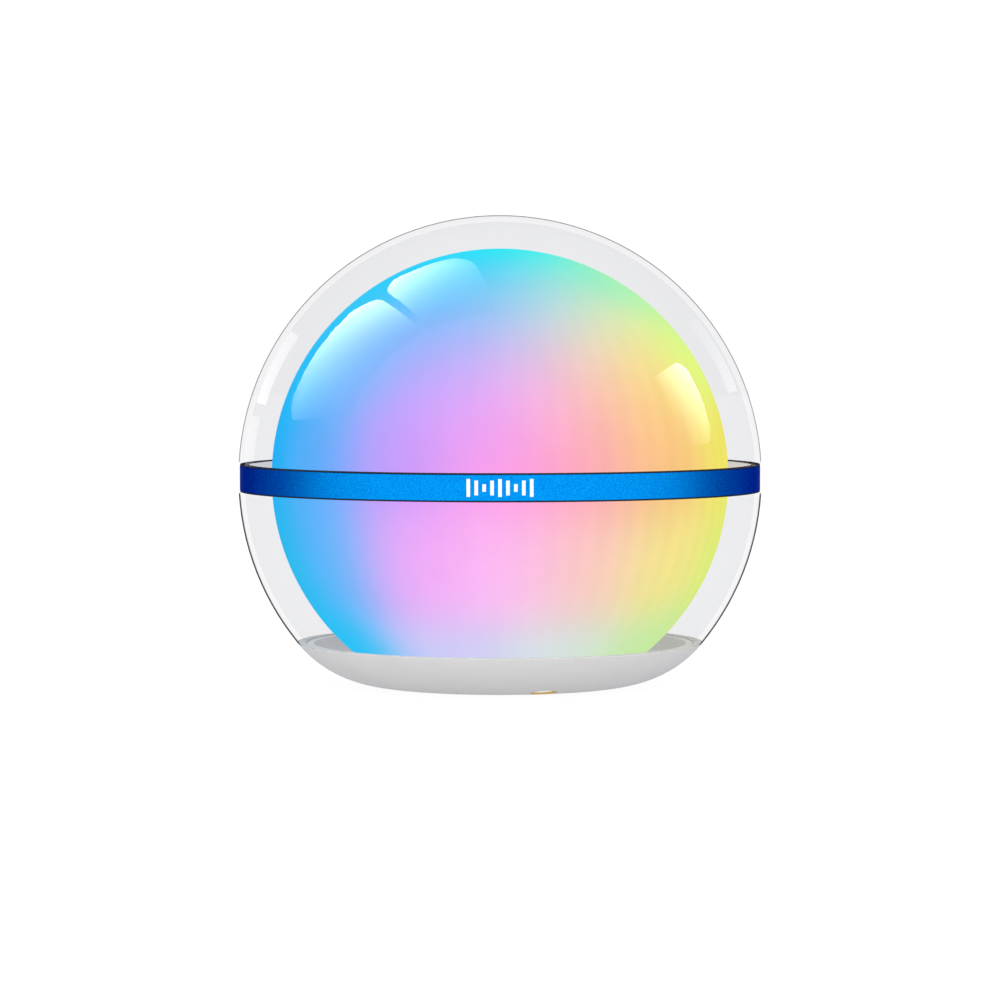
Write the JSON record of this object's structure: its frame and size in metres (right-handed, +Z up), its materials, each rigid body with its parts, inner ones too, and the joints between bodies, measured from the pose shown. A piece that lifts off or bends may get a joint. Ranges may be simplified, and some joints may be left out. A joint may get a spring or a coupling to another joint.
{
  "type": "smart speaker",
  "caption": "Globe-shaped light-up smart speaker: a frosted lit globe inside a clear globe with a metal band, on a white base with a down-firing driver and a push button.",
  "frame": {"origin": "on the table plane, under the centre of the globe", "axes": "+Z up, the front with the sound mark faces -Y, +X to the right seen from the front"},
  "size_m": [0.1996, 0.1996, 0.18],
  "materials": {
    "clear_shell": "gloss",
    "blue_band": "satin",
    "mark": "satin",
    "gasket": "matte",
    "inner_white": "gloss",
    "diffuser": "gloss",
    "base_white": "satin",
    "deck_grey": "satin",
    "plate_grey": "satin",
    "cloth": "matte",
    "feet": "matte",
    "screws": "satin",
    "foam": "matte",
    "frame_black": "satin",
    "zinc_steel": "satin",
    "ferrite": "matte",
    "spider_cloth": "matte",
    "cone_paper": "matte",
    "former": "satin",
    "copper": "satin",
    "terminals": "satin",
    "red_wire": "satin",
    "white_wire": "satin",
    "black_wire": "satin",
    "led_board": "satin",
    "led": "gloss",
    "cell_wrap": "gloss",
    "holder": "satin",
    "nickel": "satin",
    "circuit_board": "satin",
    "chip_black": "satin",
    "tin": "satin",
    "socket_cream": "satin",
    "button_white": "satin",
    "plunger": "satin",
    "gold": "gloss"
  },
  "bodies": {
    "root": {"upper_shell": "clear_shell", "lower_shell": "clear_shell", "band": "blue_band", "sound_mark": "mark", "upper_gasket": "gasket", "lower_gasket": "gasket", "coupling_ring": "inner_white", "diffuser_upper": "diffuser", "diffuser_lower": "diffuser", "base_shell": "base_white", "deck": "deck_grey", "bottom_plate": "plate_grey", "grille_cloth": "cloth", "foot_pads": "feet", "base_screws": "screws", "driver_gasket": "foam", "driver_basket": "frame_black", "driver_top_plate": "zinc_steel", "driver_magnet": "ferrite", "driver_pole": "zinc_steel", "driver_surround": "foam", "driver_spider": "spider_cloth", "driver_screws": "screws", "terminal_strip": "terminals", "speaker_leads": "red_wire", "tower_core": "inner_white", "tower_screws": "screws", "crown_board": "led_board", "led_strips": "led_board", "led_chips": "led", "battery_cells": "cell_wrap", "battery_tray": "holder", "battery_cap": "holder", "cell_links": "nickel", "battery_leads": "red_wire", "led_leads": "white_wire", "main_board": "circuit_board", "board_screws": "screws", "control_chips": "chip_black", "rf_shield": "tin", "inductors": "chip_black", "lead_sockets": "socket_cream", "usb_shell": "tin", "usb_tongue": "chip_black", "button_bezel": "gold", "button_switch": "chip_black", "button_board": "circuit_board", "button_screws": "screws", "button_leads": "black_wire", "microphone": "tin", "mic_boot": "foam", "mic_leads": "black_wire"},
    "button": {"button_cap": "button_white", "button_plunger": "plunger"},
    "diaphragm": {"driver_cone": "cone_paper", "dust_cap": "cone_paper", "coil_former": "former", "voice_coil": "copper"}
  },
  "joints": [
    {"name": "button_press", "type": "slide", "parent": "root", "child": "button", "axis": [-0.0676, 0.2145, 0.9744], "range_m": [0, 0.0005], "stiffness_N_per_m": 2000, "springref_m": -0.0001},
    {"name": "diaphragm_travel", "type": "slide", "parent": "root", "child": "diaphragm", "axis": [0, 0, 1], "range_m": [-0.0015, 0.0015], "stiffness_N_per_m": 1500, "deforming": ["driver_surround", "driver_spider"]}
  ]
}
